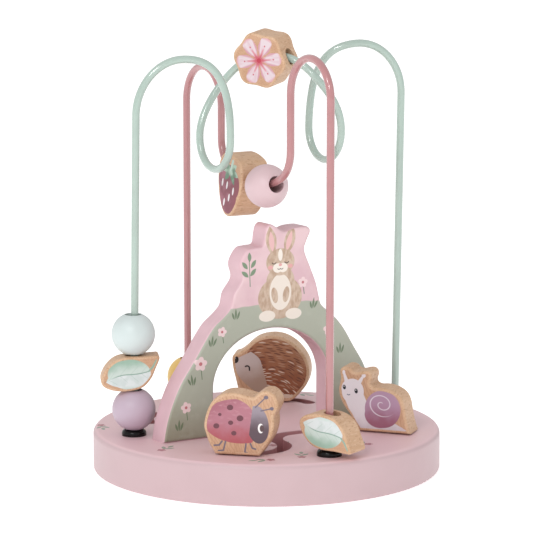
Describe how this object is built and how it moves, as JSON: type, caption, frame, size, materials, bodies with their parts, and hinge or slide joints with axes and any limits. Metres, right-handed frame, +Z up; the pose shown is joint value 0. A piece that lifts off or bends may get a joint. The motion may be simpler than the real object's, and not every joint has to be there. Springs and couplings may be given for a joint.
{
  "type": "bead maze",
  "caption": "Round wooden bead maze with a cut-out arch, bent coated wires that carry sliding beads, and wooden animals that run in tracks cut in the base.",
  "frame": {"origin": "middle of the base's underside", "axes": "+Z up, +X along the arch to the right as seen from its front, -Y towards the arch's front"},
  "size_m": [0.2, 0.2026, 0.2519],
  "materials": {
    "deck_paint": "satin pink paint on wood",
    "plate_paint": "satin pink paint on wood",
    "arch_paint": "printed and painted wood, satin",
    "mint_coat": "matte coated wire",
    "pink_coat": "matte coated wire",
    "collar_black": "glossy",
    "beech": "bare beech with printed faces, satin",
    "lilac_paint": "satin paint",
    "mint_paint": "satin paint",
    "yellow_paint": "satin paint",
    "pink_paint": "satin paint",
    "glide_white": "matte",
    "screw_zinc": "zinc plated"
  },
  "bodies": {
    "base": {"base_deck": "deck_paint", "base_plate": "plate_paint", "base_screws": "screw_zinc", "arch": "arch_paint", "arch_screws": "screw_zinc", "mint_wire": "mint_coat", "pink_wire": "pink_coat", "collar_mint_left": "collar_black", "collar_mint_right": "collar_black", "collar_pink_front": "collar_black", "collar_pink_back": "collar_black"},
    "ladybird_glide": {"ladybird_glide": "glide_white"},
    "ladybird": {"ladybird": "beech", "ladybird_screw": "screw_zinc"},
    "snail_glide": {"snail_glide": "glide_white"},
    "snail": {"snail": "beech", "snail_screw": "screw_zinc"},
    "hedgehog_glide": {"hedgehog_glide": "glide_white"},
    "hedgehog": {"hedgehog": "beech", "hedgehog_screw": "screw_zinc"},
    "lilac_ball": {"lilac_ball": "lilac_paint"},
    "leaf_bead_left": {"leaf_bead_left": "beech"},
    "mint_ball": {"mint_ball": "mint_paint"},
    "yellow_ball": {"yellow_ball": "yellow_paint"},
    "leaf_bead_front": {"leaf_bead_front": "beech"},
    "flower_bead": {"flower_bead": "beech"},
    "strawberry_bead": {"strawberry_bead": "beech"},
    "pink_ball": {"pink_ball": "pink_paint"}
  },
  "joints": [
    {"name": "ladybird_track", "type": "hinge", "parent": "base", "child": "ladybird_glide", "pos_m": [-0.035, -0.041, 0.0234], "axis": [0, 0, 1], "range_deg": [-42, 137]},
    {"name": "ladybird_swivel", "type": "hinge", "parent": "ladybird_glide", "child": "ladybird", "pos_m": [-0.04901, -0.05384, 0.024], "axis": [0, 0, 1], "continuous": true},
    {"name": "snail_track", "type": "hinge", "parent": "base", "child": "snail_glide", "pos_m": [0, -0.0924, 0.0234], "axis": [0, 0, 1], "range_deg": [-5, 40]},
    {"name": "snail_swivel", "type": "hinge", "parent": "snail_glide", "child": "snail", "pos_m": [0.05201, -0.04953, 0.024], "axis": [0, 0, 1], "continuous": true},
    {"name": "hedgehog_track", "type": "hinge", "parent": "base", "child": "hedgehog_glide", "pos_m": [0.035, 0.041, 0.0234], "axis": [0, 0, 1], "range_deg": [-82, 96]},
    {"name": "hedgehog_swivel", "type": "hinge", "parent": "hedgehog_glide", "child": "hedgehog", "pos_m": [0.03732, 0.05986, 0.024], "axis": [0, 0, 1], "continuous": true},
    {"name": "lilac_slide", "type": "slide", "parent": "base", "child": "lilac_ball", "axis": [0, 0, 1], "range_m": [0, 0.032]},
    {"name": "leaf_left_slide", "type": "slide", "parent": "lilac_ball", "child": "leaf_bead_left", "axis": [0, 0, 1], "range_m": [0, 0.032]},
    {"name": "mint_ball_slide", "type": "slide", "parent": "leaf_bead_left", "child": "mint_ball", "axis": [0, 0, 1], "range_m": [0, 0.032]},
    {"name": "yellow_slide", "type": "slide", "parent": "base", "child": "yellow_ball", "axis": [0, 0, 1], "range_m": [0, 0.15]},
    {"name": "leaf_front_slide", "type": "slide", "parent": "base", "child": "leaf_bead_front", "axis": [0, 0, 1], "range_m": [0, 0.16]},
    {"name": "flower_travel", "type": "hinge", "parent": "base", "child": "flower_bead", "pos_m": [0.00244, -0.00053, 0.2015], "axis": [0.829, 0.5592, 0], "range_deg": [-13, 23]},
    {"name": "strawberry_travel", "type": "hinge", "parent": "base", "child": "strawberry_bead", "pos_m": [-0.0075, 0, 0.234], "axis": [0.9997, -0.0244, 0], "range_deg": [0, 4]},
    {"name": "pink_ball_travel", "type": "hinge", "parent": "base", "child": "pink_ball", "pos_m": [-0.0075, 0, 0.234], "axis": [0.9997, -0.0244, 0], "range_deg": [-8.5, 0]}
  ]
}
